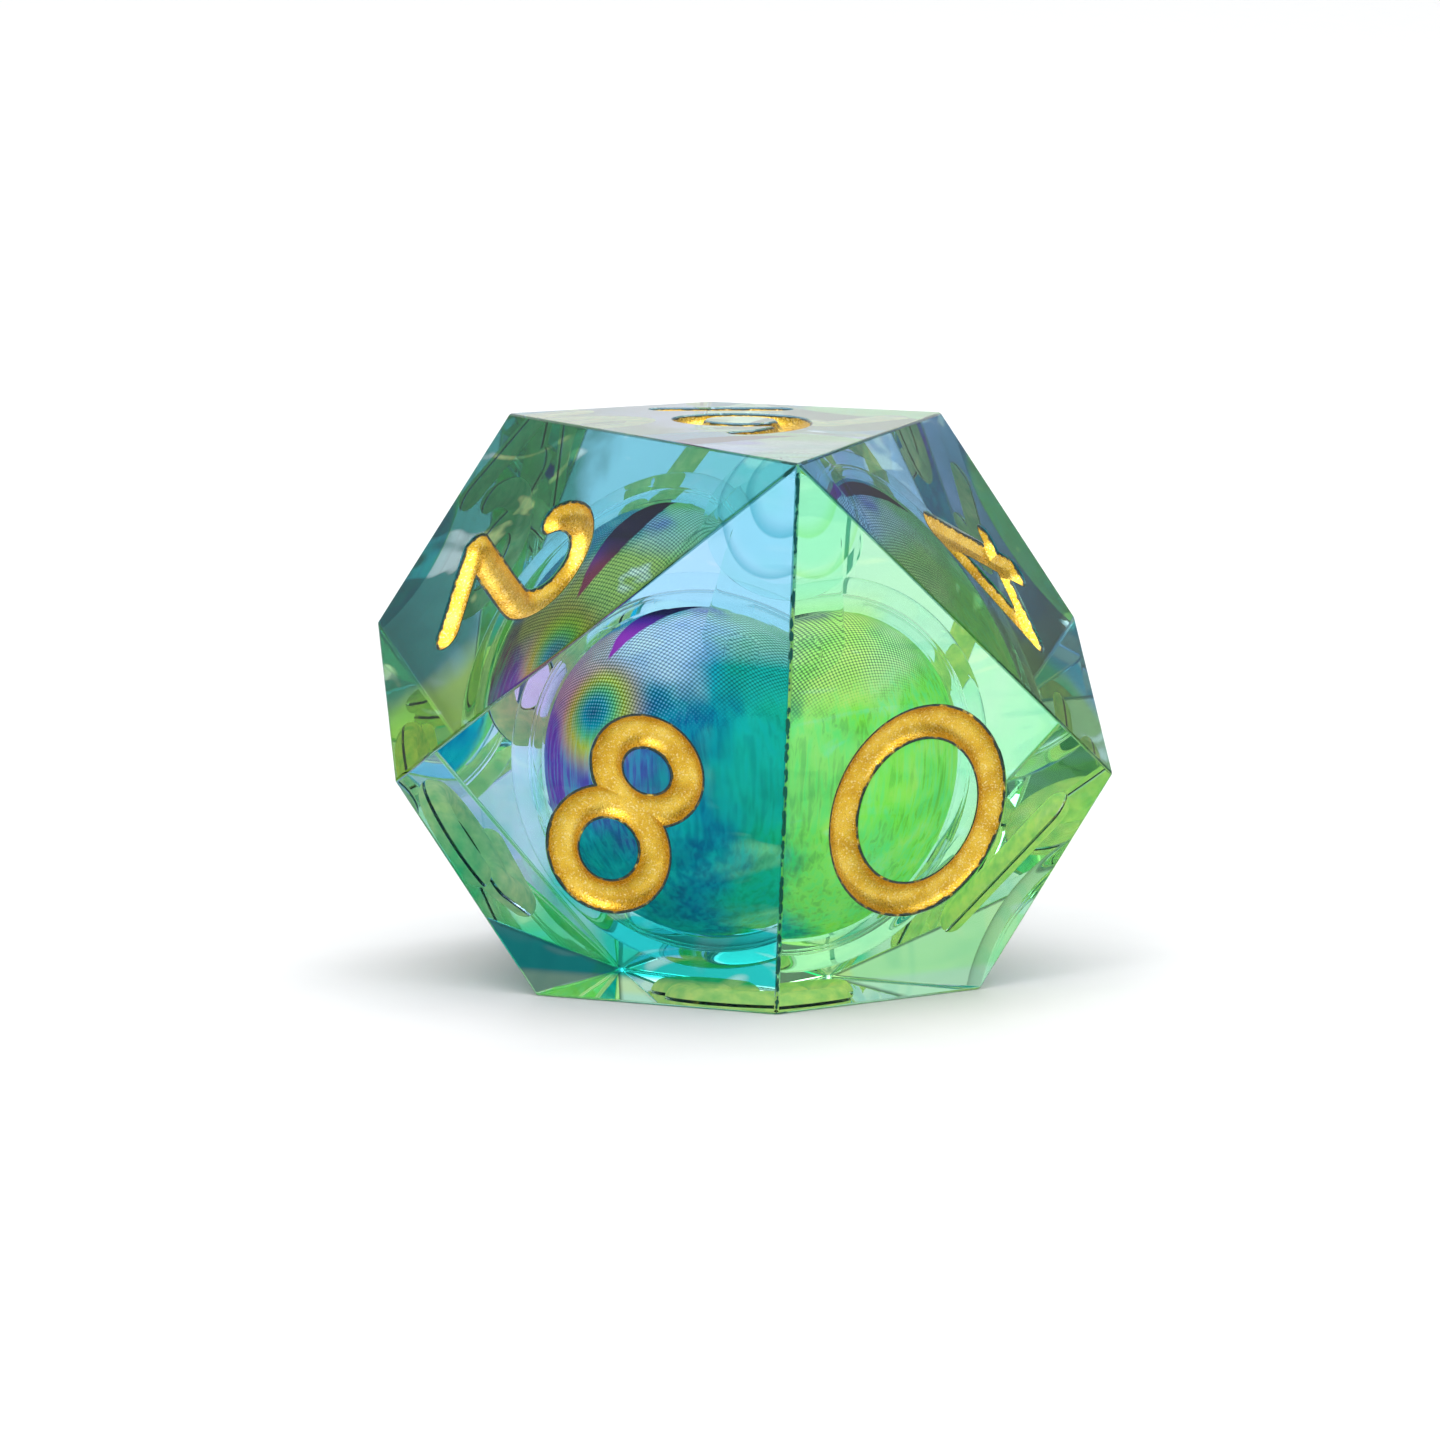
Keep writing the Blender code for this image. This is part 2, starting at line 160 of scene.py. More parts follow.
class Die:
    """The die's corners at rest, and a frame on each of its ten kites."""

    def __init__(self):
        zigzag = APEX_OVER_BELT * (1 - cos(pi / 5)) / (1 + cos(pi / 5))
        apex = Vector((0, 0, APEX_OVER_BELT))
        upper = [Vector((cos(radians(72 * i)), sin(radians(72 * i)), zigzag)) for i in range(5)]
        lower = [Vector((-corner.x, -corner.y, -zigzag)) for corner in upper]
        lower = lower[3:] + lower[:3]
        normal = self.outward(apex, upper[0], upper[1])
        back = -(apex - normal * apex.dot(normal)).normalized()
        turn = Matrix((back.cross(normal), back, normal))
        scale = FACE_TO_FACE / 2 / apex.dot(normal)
        self.apex = turn @ apex * scale
        self.upper = [turn @ corner * scale for corner in upper]
        self.lower = [turn @ corner * scale for corner in lower]

    @staticmethod
    def outward(apex, left, right):
        normal = (left - apex).cross(right - apex).normalized()
        return normal if normal.dot(apex) > 0 else -normal

    def corners(self):
        around = [self.apex, -self.apex, *self.upper, *self.lower]
        return [DIE_CENTRE + corner for corner in around]

    def kite_frame(self, index, side):
        normal = self.outward(self.apex, self.upper[index], self.upper[(index + 1) % 5])
        middle = normal * (FACE_TO_FACE / 2)
        up = (self.apex - middle).normalized()
        place = Matrix((up.cross(normal), side * up, side * normal)).transposed().to_4x4()
        place.translation = DIE_CENTRE + side * middle
        return place

    def kites(self):
        """(digit, frame) of the ten kites."""
        for side in (1, -1):
            for index, near_digit in enumerate(NEAR_APEX_NUMERALS):
                digit = near_digit if side == 1 else OPPOSITE_SUM - near_digit
                yield digit, self.kite_frame(index, side)

    def port_axis(self):
        """The line along which the die was filled: from the capsule's centre to the near apex."""
        return (DIE_CENTRE + self.apex - CORE).normalized()


def arc(x, y, wide, high, start, end, count):
    points = []
    for i in range(count):
        turn = radians(start + (end - start) * i / (count - 1))
        points.append((x + wide * cos(turn), y + high * sin(turn)))
    return points


def loop(x, y, wide, high, count=56):
    return arc(x, y, wide, high, 0, 360, count + 1)[:-1]


def softened(points):
    """A line with its corners cut twice, so that a stroke bends as a pen does."""
    for _ in range(2):
        cut = [points[0]]
        for (ax, ay), (bx, by) in zip(points, points[1:]):
            cut.append((0.75 * ax + 0.25 * bx, 0.75 * ay + 0.25 * by))
            cut.append((0.25 * ax + 0.75 * bx, 0.25 * ay + 0.75 * by))
        points = [*cut, points[-1]]
    return points


def tail_and_bowl():
    """The strokes of a 6."""
    tail = arc(0.55, -0.20, 1.17, 1.52, 112, 178, 22)
    return [(tail, False), (loop(-0.05, -0.25, 0.57, 0.57), True)]


def turned_over(strokes):
    middle = 0.20
    return [([(-x, 2 * middle - y) for x, y in points], closed) for points, closed in strokes]


def numeral_strokes(digit):
    """The centre lines of a numeral, each with whether it closes, for a half height of 1."""
    if digit == 0:
        return [(loop(0, 0, 0.98, 0.98, 72), True)]
    if digit == 1:
        return [([(0.06, 0.97), (0.06, -0.97)], False), ([(0.06, 0.97), (-0.26, 0.66)], False)]
    if digit == 2:
        bowl = arc(0, 0.43, 0.55, 0.57, 186, -30, 30) + [(0.30, -0.06), (-0.56, -0.93)]
        return [(softened(bowl), False), ([(-0.56, -0.96), (0.56, -0.96)], False)]
    if digit == 3:
        top = arc(-0.02, 0.50, 0.46, 0.50, 165, -88, 30)
        foot = arc(-0.02, -0.45, 0.55, 0.55, 88, -165, 34)
        return [(top, False), (foot, False)]
    if digit == 4:
        stem = [(0.24, 1.02), (0.24, -1.06)]
        slope = [(0.24, 1.00), (-0.75, -0.60)]
        return [(stem, False), (slope, False), ([(-0.75, -0.60), (0.54, -0.60)], False)]
    if digit == 5:
        bowl = arc(-0.02, -0.38, 0.57, 0.60, 128, -155, 34)
        bar = [(-0.34, 0.96), (0.44, 0.96)]
        return [(bowl, False), ([(-0.34, 0.96), (-0.40, 0.10)], False), (bar, False)]
    if digit == 6:
        return tail_and_bowl()
    if digit == 7:
        return [([(-0.54, 0.96), (0.56, 0.96)], False), ([(0.56, 0.96), (-0.14, -0.94)], False)]
    if digit == 8:
        return [(loop(0, 0.55, 0.46, 0.43), True), (loop(0, -0.46, 0.52, 0.53), True)]
    return turned_over(tail_and_bowl())


def stations(points, closed, radius):
    """(point, tangent, radius) along a stroke, with round ends where it doesn't close."""
    spots = [Vector((x, y, 0)) * NUMERAL_HALF_HEIGHT for x, y in points]
    count = len(spots)
    found = []
    for i, spot in enumerate(spots):
        before = spots[i - 1] if closed or i else spot
        after = spots[(i + 1) % count] if closed or i + 1 < count else spot
        found.append((spot, (after - before).normalized(), radius))
    if closed:
        return found
    ends = [radians(angle) for angle in (18, 36, 54, 72, 84)]
    first, along, _ = found[0]
    last, onward, _ = found[-1]
    start = [(first - along * radius * sin(a), along, radius * cos(a)) for a in reversed(ends)]
    finish = [(last + onward * radius * sin(a), onward, radius * cos(a)) for a in ends]
    return start + found + finish


def stroke_solid(name, points, closed, radius, sides=22):
    """A round bar along a stroke. Its lowest line runs at a groove's depth when it has its radius."""
    shape = bmesh.new()
    height = UP * (GROOVE_RADIUS - GROOVE_DEPTH)
    rings = []
    for spot, along, wide in stations(points, closed, radius):
        across = along.cross(UP)
        ring = []
        for k in range(sides):
            turn = 2 * pi * (k + 0.5) / sides
            out = across * cos(turn) + UP * sin(turn)
            ring.append(shape.verts.new(spot + height + out * wide))
        rings.append(ring)
    pairs = list(zip(rings, rings[1:]))
    if closed:
        pairs.append((rings[-1], rings[0]))
    for one, two in pairs:
        for k in range(sides):
            after = (k + 1) % sides
            shape.faces.new((one[k], one[after], two[after], two[k]))
    if not closed:
        shape.faces.new(rings[0])
        shape.faces.new(rings[-1])
    bmesh.ops.recalc_face_normals(shape, faces=shape.faces)
    return object_from(name, shape)


def strokes_joined(name, strokes, radius):
    """All strokes of a numeral as one solid. Each is a trace thinner, so that no faces coincide."""
    whole = None
    for i, (points, closed) in enumerate(strokes):
        bar = stroke_solid(f"{name}_{i}", points, closed, radius * (1 - 0.006 * i))
        if whole is None:
            whole = bar
        else:
            boolean(whole, bar, "UNION")
    whole.name = name
    return whole


def block_above(height):
    """A block that covers a whole kite from this height up."""
    side = 14 * MM
    shape = bmesh.new()
    bmesh.ops.create_cube(shape, size=side)
    bmesh.ops.translate(shape, vec=(0, 0, side / 2 + height), verts=shape.verts)
    return object_from("above", shape)


def paint_lining(name, strokes, place):
    """The coat of paint that lines a groove, from a little inside the resin to its own surface."""
    coat = strokes_joined(name, strokes, GROOVE_RADIUS + PAINT_BITE)
    hollow = strokes_joined(name + "_hollow", strokes, GROOVE_RADIUS - PAINT_COAT)
    boolean(coat, hollow, "DIFFERENCE")
    boolean(coat, block_above(-PAINT_EDGE), "DIFFERENCE")
    for face in coat.data.polygons:
        face.material_index = 1 if face.normal.z < 0 else 0
    coat.data.transform(place)
    coat.data.shade_smooth()
    coat.data.set_sharp_from_angle(angle=radians(40))
    return coat


def engraving(die):
    """(node name, strokes, place) of every engraved numeral and underline."""
    for digit, kite in die.kites():
        middle = Vector((0, NUMERAL_MIDDLE, 0))
        yield f"numeral_{digit}_paint", numeral_strokes(digit), kite @ Matrix.Translation(middle)
        if digit in (6, 9):
            bar = [([(-UNDERLINE_HALF_LENGTH, 0), (UNDERLINE_HALF_LENGTH, 0)], False)]
            middle.y -= UNDERLINE_DROP
            yield f"underline_{digit}_paint", bar, kite @ Matrix.Translation(middle)


def resin_casting(die):
    """The engraved outside of the resin, with flat kites, blunted edges and round grooves."""
    shape = bmesh.new()
    points = [shape.verts.new(corner) for corner in die.corners()]
    bmesh.ops.convex_hull(shape, input=points)
    bmesh.ops.dissolve_limit(shape, angle_limit=radians(1), verts=shape.verts, edges=shape.edges)
    bmesh.ops.recalc_face_normals(shape, faces=shape.faces)
    body = object_from("resin_casting", shape)
    edge = body.modifiers.new("blunted_edges", "BEVEL")
    edge.width = EDGE_BLUNTING
    edge.segments = 3
    body.data = evaluated_mesh(body)
    body.modifiers.clear()
    for name, strokes, place in engraving(die):
        groove = strokes_joined(name + "_groove", strokes, GROOVE_RADIUS)
        groove.data.transform(place)
        boolean(body, groove, "DIFFERENCE")
    return body


def turned(name, outline, place, steps=128):
    """A closed outline (r, z) turned about the Z axis of its place. It may touch the axis twice."""
    shape = bmesh.new()
    rows = []
    for r, z in outline:
        if r < 1e-7:
            rows.append([shape.verts.new((0, 0, z))])
            continue
        row = []
        for k in range(steps):
            turn = 2 * pi * k / steps
            row.append(shape.verts.new((r * cos(turn), r * sin(turn), z)))
        rows.append(row)
    for one, two in zip(rows, [*rows[1:], rows[0]]):
        if len(one) == len(two) == 1:
            continue
        for k in range(steps):
            after = (k + 1) % steps
            if len(one) == 1:
                shape.faces.new((one[0], two[k], two[after]))
            elif len(two) == 1:
                shape.faces.new((one[k], two[0], one[after]))
            else:
                shape.faces.new((one[k], two[k], two[after], one[after]))
    bmesh.ops.recalc_face_normals(shape, faces=shape.faces)
    made = object_from(name, shape)
    made.data.shade_smooth()
    made.data.set_sharp_from_angle(angle=radians(35))
    made.data.transform(place)
    return made


def ball_line(radius, start, end, count):
    """Points (r, z) on a ball, between two angles from the Z axis."""
    angles = [start + (end - start) * i / (count - 1) for i in range(count)]
    return [(max(0.0, radius * sin(angle)), radius * cos(angle)) for angle in angles]


# ---- Materials ---------------------------------------------------------------------------------


class Nodes:
    """Short names for the shader nodes of one material or world."""

    def __init__(self, owner):
        self.material = owner
        owner.use_nodes = True
        self.tree = owner.node_tree
        self.shader = self.tree.nodes.get("Principled BSDF")

    def put(self, value, target):
        if isinstance(value, bpy.types.NodeSocket):
            self.tree.links.new(value, target)
        elif isinstance(value, (tuple, list, Vector)) and len(target.default_value) == 4:
            target.default_value = (*tuple(value)[:3], 1.0)
        else:
            target.default_value = value

    def set(self, **values):
        """Sets the shader's inputs. Their names have underscores for spaces here."""
        for name, value in values.items():
            self.put(value, self.shader.inputs[name.replace("_", " ")])

    def math(self, operation, first, second=None):
        node = self.tree.nodes.new("ShaderNodeMath")
        node.operation = operation
        self.put(first, node.inputs[0])
        if second is not None:
            self.put(second, node.inputs[1])
        return node.outputs[0]

    def plus(self, first, second):
        return self.math("ADD", first, second)

    def minus(self, first, second):
        return self.math("SUBTRACT", first, second)

    def times(self, first, second):
        return self.math("MULTIPLY", first, second)

    def highest(self, first, second):
        return self.math("MAXIMUM", first, second)

    def vector(self, operation, first, second=None):
        node = self.tree.nodes.new("ShaderNodeVectorMath")
        node.operation = operation
        self.put(first, node.inputs[0])
        if second is not None:
            self.put(second, node.inputs[1])
        return node.outputs["Value" if operation in ("DOT_PRODUCT", "LENGTH") else "Vector"]

    def dot(self, first, second):
        return self.vector("DOT_PRODUCT", first, second)

    def position(self):
        return self.tree.nodes.new("ShaderNodeTexCoord").outputs["Object"]

    def attribute(self, name, output="Fac"):
        node = self.tree.nodes.new("ShaderNodeAttribute")
        node.attribute_name = name
        return node.outputs[output]

    def brightness(self, colour):
        node = self.tree.nodes.new("ShaderNodeRGBToBW")
        self.put(colour, node.inputs[0])
        return node.outputs[0]

    def noise(self, where, scale, detail=3.0, distortion=0.0):
        node = self.tree.nodes.new("ShaderNodeTexNoise")
        self.put(where, node.inputs["Vector"])
        node.inputs["Scale"].default_value = scale
        node.inputs["Detail"].default_value = detail
        node.inputs["Distortion"].default_value = distortion
        return node.outputs["Fac"]

    def wobble(self, span, where, scale, detail=3.0, distortion=0.0):
        """Noise with its middle at zero."""
        return self.times(self.minus(self.noise(where, scale, detail, distortion), 0.5), span)

    def voronoi(self, where, scale, randomness=1.0, output="Distance"):
        node = self.tree.nodes.new("ShaderNodeTexVoronoi")
        self.put(where, node.inputs["Vector"])
        node.inputs["Scale"].default_value = scale
        node.inputs["Randomness"].default_value = randomness
        return node.outputs[output]

    def ramp(self, value, *stops):
        """stops are (position, colour) pairs."""
        node = self.tree.nodes.new("ShaderNodeValToRGB")
        elements = node.color_ramp.elements
        while len(elements) < len(stops):
            elements.new(0.5)
        for element, (place, colour) in zip(elements, stops):
            element.position = place
            element.color = (*colour, 1.0)
        self.put(value, node.inputs[0])
        return node.outputs["Color"]

    def range(self, value, low, high, to_low=0.0, to_high=1.0):
        """A soft step from low to high, which may lie the other way round."""
        node = self.tree.nodes.new("ShaderNodeMapRange")
        node.interpolation_type = "SMOOTHSTEP"
        for part, target in zip((value, low, high, to_low, to_high), node.inputs):
            self.put(part, target)
        return node.outputs[0]

    def mix(self, share, first, second, blend="MIX"):
        node = self.tree.nodes.new("ShaderNodeMix")
        node.data_type = "RGBA"
        node.blend_type = blend
        self.put(share, node.inputs[0])
        self.put(first, node.inputs[6])
        self.put(second, node.inputs[7])
        return node.outputs[2]

    def bump(self, height, strength, distance):
        node = self.tree.nodes.new("ShaderNodeBump")
        node.inputs["Strength"].default_value = strength
        node.inputs["Distance"].default_value = distance
        self.put(height, node.inputs["Height"])
        self.put(node.outputs[0], self.shader.inputs["Normal"])


def new_material(name):
    return Nodes(bpy.data.materials.new(name))


# The resin's tint under each kite, as what light keeps on its way in and out again:
# (neighbour, tint near its edge, tint far from it, where the change starts and ends in mm,
#  neighbour with a tinted rim along its edge, the rim's tint, up to which height in mm)
KITE_TINTS = {
    6: (4, (0.52, 0.46, 0.78), (0.44, 0.46, 0.72), 2, 9, None, None, 0),
    2: (9, (0.002, 0.055, 0.045), (0.08, 0.33, 0.50), 4.5, 8, 8, (0.15, 0.30, 0.015), 14.2),
    8: (3, (0.001, 0.32, 0.30), (0.43, 0.56, 0.92), 2, 7.5, 0, (0.0003, 0.26, 0.50), 11.4),
    0: (3, (0.50, 0.94, 0.22), (0.62, 0.91, 0.36), 3.5, 10, 8, (0.84, 0.97, 0.12), 12.6),
    4: (7, (0.02, 0.09, 0.18), (0.08, 0.16, 0.38), 5, 10, 0, (0.07, 0.16, 0.03), 14.2),
    3: (8, (0.40, 0.85, 0.60), (0.50, 0.92, 0.40), 2, 9, None, None, 0),
    7: (1, (0.70, 0.82, 0.98), (0.72, 0.74, 0.98), 0, 4, None, None, 0),
    1: (9, (0.42, 0.80, 0.92), (0.28, 0.82, 0.74), 2, 7, None, None, 0),
    9: (1, (0.42, 0.86, 0.84), (0.50, 0.72, 0.92), 1, 5, None, None, 0),
    5: (9, (0.14, 0.30, 0.42), (0.08, 0.42, 0.38), 0, 5, None, None, 0),
}
NO_RIM = -9.0  # share of the rim's tint where a kite has none
FLAT = 0.9999  # cosine to the kite's normal, below which a face is part of an edge or a groove
RIM_REACH = 3.1 * MM  # how far a tinted rim reaches from its edge
RIM_FADE = 1.3 * MM
RIM_FOOT = 2.0 * MM  # no tinted rim below this height
RESIN_ABSORPTION = (0.62, 0.93, 0.90, 1.0)
RESIN_DENSITY = 20.0  # per metre
PINK_SWIRL = Vector((-6.4, -5.9, 9.0)) * MM  # middle of a wisp of pink dye
PINK_REACH = 2.3 * MM
FOOT_TOP = 0.85 * MM  # the lowest part of the die is golden up to here
FOOT_FULL = 0.60 * MM  # and fully so below here
REFLECTED = (0.06, 0.30, 0.36)  # tint of what the polished faces reflect straight on
EDGE_LINE = 0.045 * MM  # half width of the painted dark line of shade along an edge
PORT_RINGS = ((PORT_RADIUS, 1.76 * MM), (PORT_CORE_RADIUS, 0.92 * MM))  # outer and inner radius


def mark_kites(body, die):
    """Gives the resin's faces their kite's tints, and how far each corner is between them.

    Kites are shaded flat, and the blunted edges and the grooves smooth.
    """
    normals = {digit: place.col[2].to_3d() for digit, place in die.kites()}
    mesh = body.data
    colours = ("near_tint", "far_tint", "rim_tint")
    shares = ("far_share", "rim_share", "rim_top")
    for name in colours:
        mesh.attributes.new(name, "FLOAT_COLOR", "CORNER")
    for name in shares:
        mesh.attributes.new(name, "FLOAT", "CORNER")
    near, far, rim = (mesh.attributes[name].data for name in colours)
    far_share, rim_share, rim_top = (mesh.attributes[name].data for name in shares)
    for face in mesh.polygons:
        out = face.center - DIE_CENTRE
        kite = max(normals, key=lambda digit: out.dot(normals[digit]))
        neighbour, near_tint, far_tint, start, end, rim_neighbour, rim_tint, top = KITE_TINTS[kite]
        face.use_smooth = face.normal.dot(normals[kite]) < FLAT
        for at in face.loop_indices:
            spot = mesh.vertices[mesh.loops[at].vertex_index].co - DIE_CENTRE
            gap = FACE_TO_FACE / 2 - spot.dot(normals[neighbour])
            near[at].color = (*near_tint, 1.0)
            far[at].color = (*far_tint, 1.0)
            far_share[at].value = (gap / MM - start) / (end - start)
            rim_top[at].value = top * MM
            rim_share[at].value = NO_RIM
            if rim_tint:
                gap = FACE_TO_FACE / 2 - spot.dot(normals[rim_neighbour])
                rim[at].color = (*rim_tint, 1.0)
                rim_share[at].value = (RIM_REACH - gap) / RIM_FADE


def kite_gaps(n, offset, die):
    """How far a point lies below its own kite's plane, and below the next one's: zero on an edge."""
    nearest, second = None, 0.0
    for _, kite in list(die.kites())[:5]:
        reach = n.math("ABSOLUTE", n.dot(offset, kite.col[2].to_3d()))
        if nearest is None:
            nearest = reach
            continue
        second = n.highest(second, n.math("MINIMUM", nearest, reach))
        nearest = n.highest(nearest, reach)
    return [n.minus(FACE_TO_FACE / 2, reach) for reach in (nearest, second)]


def kite_colour(n, where, height, swirl):
    """The kites' two tints with soft swirls between them, and the tinted rims."""
    blend = n.range(n.plus(n.attribute("far_share"), swirl), 0.0, 1.0)
    colour = n.mix(blend, n.attribute("near_tint", "Color"), n.attribute("far_tint", "Color"))
    ripple = n.wobble(1.2, where, 400.0, 2.0, 0.6)
    on_rim = n.range(n.plus(n.attribute("rim_share"), ripple), 0.0, 1.0)
    below_top = n.range(n.minus(n.attribute("rim_top"), height), 0.0, RIM_FADE)
    above_foot = n.range(height, RIM_FOOT, RIM_FOOT + RIM_FADE)
    on_rim = n.times(on_rim, n.times(below_top, above_foot))
    return n.mix(on_rim, colour, n.attribute("rim_tint", "Color"))


def with_veils(n, colour, where):
    """Darker and paler veils that hang in the resin."""
    veil = n.noise(n.vector("MULTIPLY", where, Vector((160.0, 260.0, 620.0))), 1.0, 2.0, 1.2)
    colour = n.mix(n.range(veil, 0.56, 0.66, 0.0, 0.6), colour, (0.55, 0.80, 0.84), "MULTIPLY")
    return n.mix(n.range(veil, 0.40, 0.32, 0.0, 0.35), colour, (0.90, 0.97, 0.95))


def with_port(n, colour, where, offset, in_front, die):
    """The trace of the filled port around the near apex: a cool disc with two rings."""
    from_core = n.vector("SUBTRACT", where, CORE)
    from_axis = n.vector("LENGTH", n.vector("CROSS_PRODUCT", from_core, die.port_axis()))
    in_port = n.times(n.range(from_axis, PORT_RADIUS, 0.80 * PORT_RADIUS), in_front)
    colour = n.mix(n.times(in_port, 0.45), colour, (0.22, 0.92, 0.86), "MULTIPLY")
    on_right = n.math("GREATER_THAN", n.dot(offset, RIGHT), 0.0)
    ring_tint = n.mix(on_right, (0.02, 0.42, 0.46), (0.60, 0.88, 0.30))
    for outer, inner in PORT_RINGS:
        inside = n.range(from_axis, outer, outer - 0.05 * MM)
        band = n.times(n.times(inside, n.range(from_axis, inner, outer)), in_front)
        colour = n.mix(n.times(band, 0.85), colour, ring_tint, "MULTIPLY")
    return colour


def with_dye(n, colour, where, height, swirl):
    """A wisp of pink dye on the left, and the golden foot."""
    from_pink = n.vector("LENGTH", n.vector("SUBTRACT", where, PINK_SWIRL))
    from_pink = n.plus(from_pink, n.times(swirl, 0.5 * MM))
    pink = n.range(from_pink, PINK_REACH, 0.3 * PINK_REACH)
    colour = n.mix(n.times(pink, 0.9), colour, (0.72, 0.22, 0.66))
    foot = n.range(height, FOOT_TOP, FOOT_FULL, 0.0, 0.8)
    return n.mix(foot, colour, (0.62, 0.80, 0.40))


def painted_edge_shade(n, where, offset, in_front, die):
    """Strength of the broken dark line of painted shade along the edges. The middle edge in front has
    it all along.
    """
    _, gap = kite_gaps(n, offset, die)
    ragged = n.noise(where, 3000.0, 3.0)
    fade = n.noise(where, 330.0, 2.0)
    from_middle = n.math("ABSOLUTE", n.dot(offset, RIGHT))
    on_middle = n.times(n.math("LESS_THAN", from_middle, 0.4 * MM), in_front)
    strength = n.highest(n.range(fade, 0.38, 0.66, 0.0, 0.3), on_middle)
    width = n.times(n.range(ragged, 0.36, 0.60, 0.05, 1.2), EDGE_LINE)
    return n.times(n.range(n.minus(gap, width), 0.02 * MM, 0.0), strength)


def tinted_resin(die):
    """Clear resin with soft swirls of colour, a painted dark line of shade along its edges and the
    trace of its filled port.
    """
    n = new_material("tinted_resin_looks")
    where = n.position()
    offset = n.vector("SUBTRACT", where, DIE_CENTRE)
    height = n.dot(where, UP)
    in_front = n.math("LESS_THAN", n.dot(offset, BACK), 0.0)
    swirl = n.wobble(2.2, where, 230.0, 2.0, 1.5)
    colour = with_veils(n, kite_colour(n, where, height, swirl), where)
    colour = with_port(n, colour, where, offset, in_front, die)
    colour = with_dye(n, colour, where, height, swirl)
    line = painted_edge_shade(n, where, offset, in_front, die)
    # painted shade: a broken dark line along the edges, which are also made rougher there
    colour = n.mix(line, colour, (0.004, 0.03, 0.035))
    polish = n.range(n.noise(where, 900.0, 4.0), 0.45, 0.8, 0.0, 0.03)
    n.set(Base_Color=colour, Transmission_Weight=1.0, IOR=1.50, Specular_Tint=REFLECTED)
    n.set(Roughness=n.highest(polish, n.times(line, 0.55)))
    n.bump(n.noise(where, 260.0, 1.0), 0.12, 0.02 * MM)
    absorb = n.tree.nodes.new("ShaderNodeVolumeAbsorption")
    absorb.inputs["Color"].default_value = RESIN_ABSORPTION
    absorb.inputs["Density"].default_value = RESIN_DENSITY
    n.put(absorb.outputs[0], n.tree.nodes["Material Output"].inputs["Volume"])
    return n.material


def inner_glass(name, colour, ior):
    """A clear solid inside the resin. Its index is relative to the resin around it."""
    n = new_material(name)
    haze = n.noise(n.position(), 1500.0, 3.0)
    n.set(Base_Color=n.ramp(haze, (0.3, colour), (0.8, tuple(0.97 * c for c in colour))))
    n.set(Transmission_Weight=1.0, IOR=ior, Roughness=n.range(haze, 0.4, 0.8, 0.0, 0.03))
    return n.material


FLAKE_SCALE = 24000.0
BORDER_DEPTH = 0.09 * MM  # the paint is darker down to this depth below the kite
PAINTED_BACK_GLOW = 0.42  # painted glow of the paint's back, so that it looks lit through the resin


def gold_paint(die):
    """Metallic paint: fine flakes that each catch the light their own way, paler painted glints on
    some flakes, and a dark ragged border.
    """
    n = new_material("gold_paint_looks")
    where = n.position()
    flake = n.brightness(n.voronoi(where, FLAKE_SCALE, output="Color"))
    lone = n.voronoi(where, FLAKE_SCALE)
    patch = n.noise(where, 1300.0, 4.0)
    grit = n.noise(where, 15000.0, 3.0)
    deep, warm, pale = (0.52, 0.28, 0.02), (0.70, 0.44, 0.04), (0.82, 0.59, 0.10)
    tone = n.ramp(patch, (0.28, deep), (0.50, warm), (0.75, pale))
    # painted glint: some flakes get a paler colour that stands for light they catch
    painted_glint = n.range(n.times(grit, flake), 0.32, 0.50)
    tone = n.mix(n.times(painted_glint, 0.6), tone, (1.0, 0.86, 0.42))
    depth, _ = kite_gaps(n, n.vector("SUBTRACT", where, DIE_CENTRE), die)
    ragged = n.wobble(0.16 * MM, where, 3800.0)
    # darker and less metallic along the groove's rim
    dark_border = n.range(n.plus(depth, ragged), BORDER_DEPTH, 0.6 * BORDER_DEPTH)
    n.set(Base_Color=n.mix(dark_border, tone, (0.015, 0.035, 0.03)))
    n.set(Metallic=n.minus(0.92, n.times(dark_border, 0.8)))
    n.set(Roughness=n.range(grit, 0.3, 0.7, 0.22, 0.44))
    grain = n.plus(n.times(flake, 0.6), grit)
    n.bump(n.minus(grain, n.times(lone, 0.4)), 0.7, 0.015 * MM)
    return n.material


def gold_paint_back():
    """The paint as it looks through the resin: matt, paler and a little green, with a painted glow.
    """
    n = new_material("gold_paint_back_looks")
    patch = n.noise(n.position(), 2200.0, 4.0)
    colour = n.ramp(patch, (0.3, (0.36, 0.62, 0.26)), (0.7, (0.80, 0.80, 0.34)))
    n.set(Base_Color=colour, Roughness=0.6, Specular_IOR_Level=0.0)
    # painted glow: the paint's back gives off light of its own colour
    n.set(Emission_Color=colour, Emission_Strength=PAINTED_BACK_GLOW)
    return n.material


